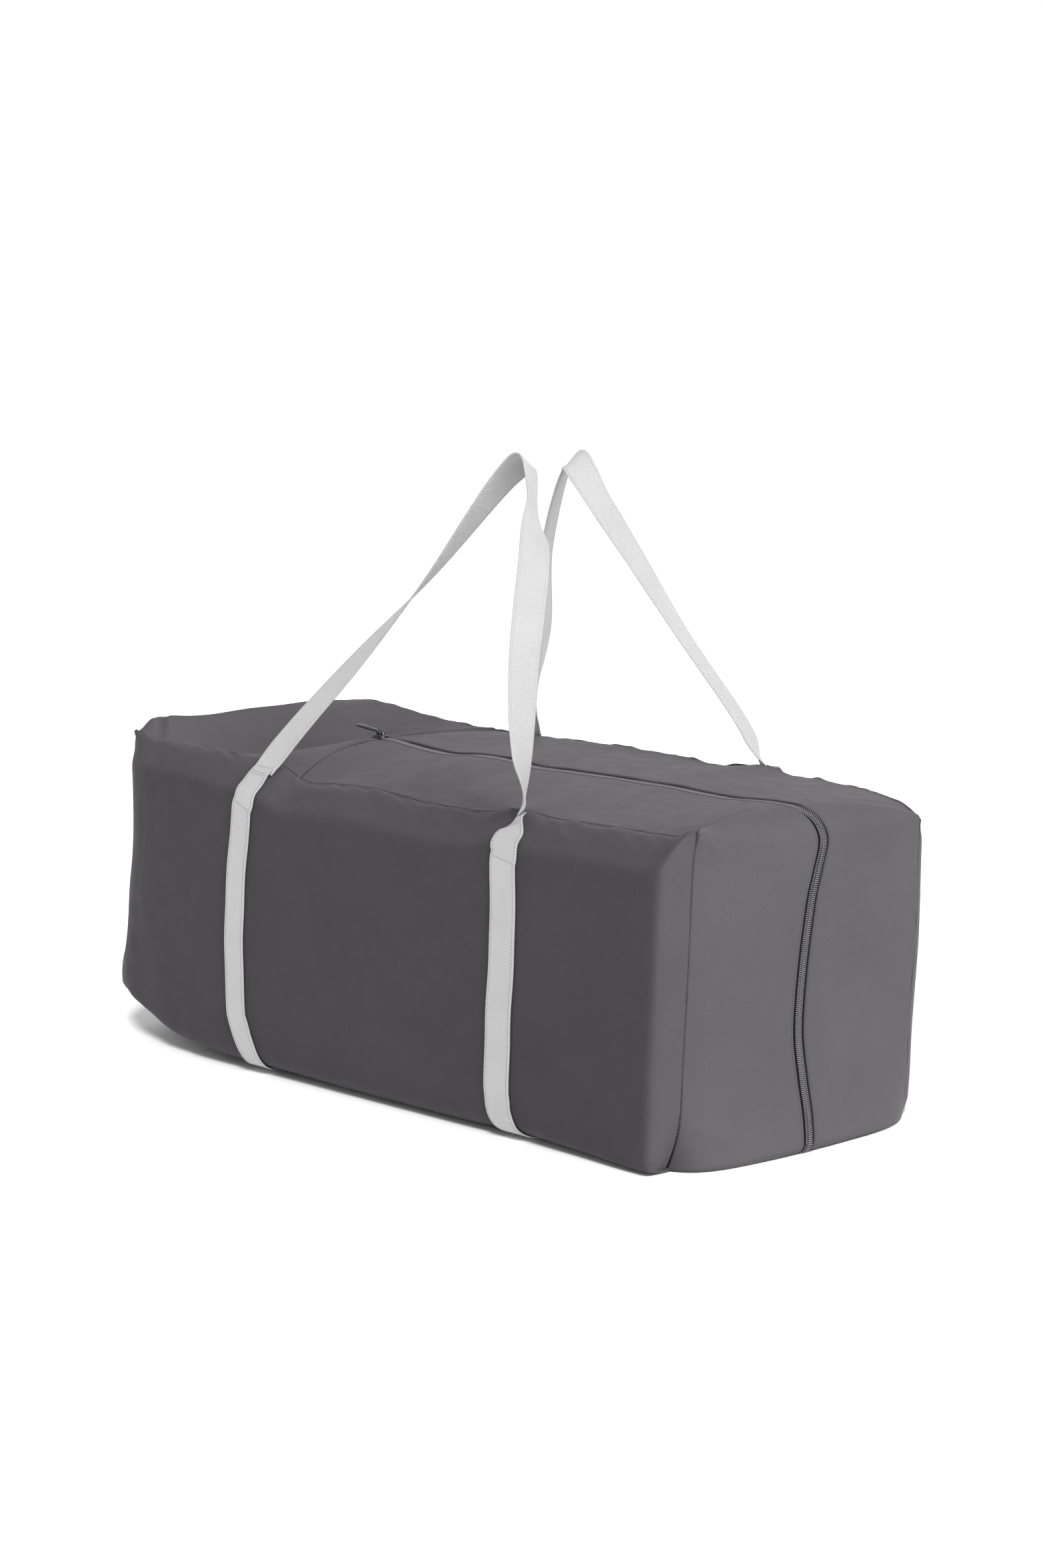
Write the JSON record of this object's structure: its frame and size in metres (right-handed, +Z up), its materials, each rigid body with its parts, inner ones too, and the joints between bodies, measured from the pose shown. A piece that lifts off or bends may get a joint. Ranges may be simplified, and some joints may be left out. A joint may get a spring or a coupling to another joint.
{
  "type": "packed playpen in carry bag",
  "caption": "Folded playpen with its mattress inside a long soft carry bag with a zip along the top and down one end, two webbing bands and two webbing handles.",
  "frame": {"origin": "centre of the bounding box on the floor, under the middle of the bag", "axes": "+X along the bag to the end that the zip turns down, +Y to the back side, +Z up"},
  "size_m": [0.7796, 0.3578, 0.5822],
  "materials": {
    "nylon": "matt charcoal woven nylon with a faint sheen",
    "webbing": "pale grey ribbed webbing",
    "zip_coil": "dark grey nylon coil on woven tape",
    "zip_metal": "dark grey enamel, half gloss",
    "mattress_cloth": "dark grey polyester over a thin board and foam",
    "mesh_cloth": "grey mesh and cloth, folded",
    "hook_tape": "black hook-and-loop strap",
    "frame_tube": "grey powder coat",
    "moulding": "dark grey moulded plastic, finely grained",
    "axle_steel": "plain steel pin",
    "wheel": "dark grey plastic"
  },
  "bodies": {
    "bag": {"front_panel": "nylon", "back_panel": "nylon", "end_front_panel": "nylon", "end_back_panel": "nylon", "left_gusset": "nylon", "bottom_panel": "nylon", "left_band": "webbing", "right_band": "webbing", "end_zip": "zip_coil", "zip_start_stop": "zip_coil", "mattress_top": "mattress_cloth", "mattress_bottom": "mattress_cloth", "mattress_front": "mattress_cloth", "mattress_back": "mattress_cloth", "mesh_sides": "mesh_cloth", "mattress_strap_left": "hook_tape", "mattress_strap_right": "hook_tape", "post_front_low": "frame_tube", "long_rail_front_low": "frame_tube", "short_rail_front_low": "frame_tube", "floor_arm_front_low": "frame_tube", "post_front_high": "frame_tube", "long_rail_front_high": "frame_tube", "short_rail_front_high": "frame_tube", "floor_arm_front_high": "frame_tube", "post_back_low": "frame_tube", "long_rail_back_low": "frame_tube", "short_rail_back_low": "frame_tube", "floor_arm_back_low": "frame_tube", "post_back_high": "frame_tube", "long_rail_back_high": "frame_tube", "short_rail_back_high": "frame_tube", "floor_arm_back_high": "frame_tube", "corner_bracket_front_low": "moulding", "foot_front_low": "moulding", "corner_bracket_front_high": "moulding", "foot_front_high": "moulding", "corner_bracket_back_low": "moulding", "foot_back_low": "moulding", "corner_bracket_back_high": "moulding", "foot_back_high": "moulding", "long_rail_lock_front": "moulding", "long_rail_lock_back": "moulding", "short_rail_lock_low": "moulding", "short_rail_lock_high": "moulding", "floor_hub": "moulding", "axle_front_low": "axle_steel", "axle_back_low": "axle_steel"},
    "front_flap": {"top_front_flap": "nylon", "zip_front_half": "zip_coil"},
    "back_flap": {"top_back_flap": "nylon", "zip_back_half": "zip_coil"},
    "slider": {"zip_slider": "zip_metal"},
    "pull": {"pull_tab": "zip_metal"},
    "front_grip": {"front_handle": "webbing"},
    "back_grip": {"back_handle": "webbing"},
    "front_wheel": {"wheel_front_low": "wheel"},
    "back_wheel": {"wheel_back_low": "wheel"}
  },
  "joints": [
    {"name": "zip_slide", "type": "slide", "parent": "bag", "child": "slider", "axis": [1, 0, 0], "range_m": [0, 0.517]},
    {"name": "front_flap_open", "type": "hinge", "parent": "bag", "child": "front_flap", "pos_m": [0.1, -0.144, 0.287], "axis": [1, 0, 0], "range_deg": [0, 48]},
    {"name": "back_flap_open", "type": "hinge", "parent": "bag", "child": "back_flap", "pos_m": [0.1, 0.144, 0.287], "axis": [-1, 0, 0], "range_deg": [0, 48]},
    {"name": "pull_tab_turn", "type": "hinge", "parent": "slider", "child": "pull", "pos_m": [-0.16785, 0, 0.3056], "axis": [0, 1, 0], "range_deg": [0, 165]},
    {"name": "front_handle_swing", "type": "hinge", "parent": "bag", "child": "front_grip", "pos_m": [0.02, -0.157, 0.29], "axis": [1, 0, 0], "range_deg": [0, 135]},
    {"name": "back_handle_swing", "type": "hinge", "parent": "bag", "child": "back_grip", "pos_m": [0.04, 0.157, 0.29], "axis": [-1, 0, 0], "range_deg": [0, 110]},
    {"name": "front_wheel_spin", "type": "hinge", "parent": "bag", "child": "front_wheel", "pos_m": [-0.35385, -0.07, 0.073], "axis": [0, 1, 0], "continuous": true},
    {"name": "back_wheel_spin", "type": "hinge", "parent": "bag", "child": "back_wheel", "pos_m": [-0.35385, 0.07, 0.073], "axis": [0, 1, 0], "continuous": true}
  ],
  "couplings": [
    {"joint": "front_flap_open", "follows": "zip_slide", "rad_per_m": 1.62},
    {"joint": "back_flap_open", "follows": "zip_slide", "rad_per_m": 1.62}
  ]
}
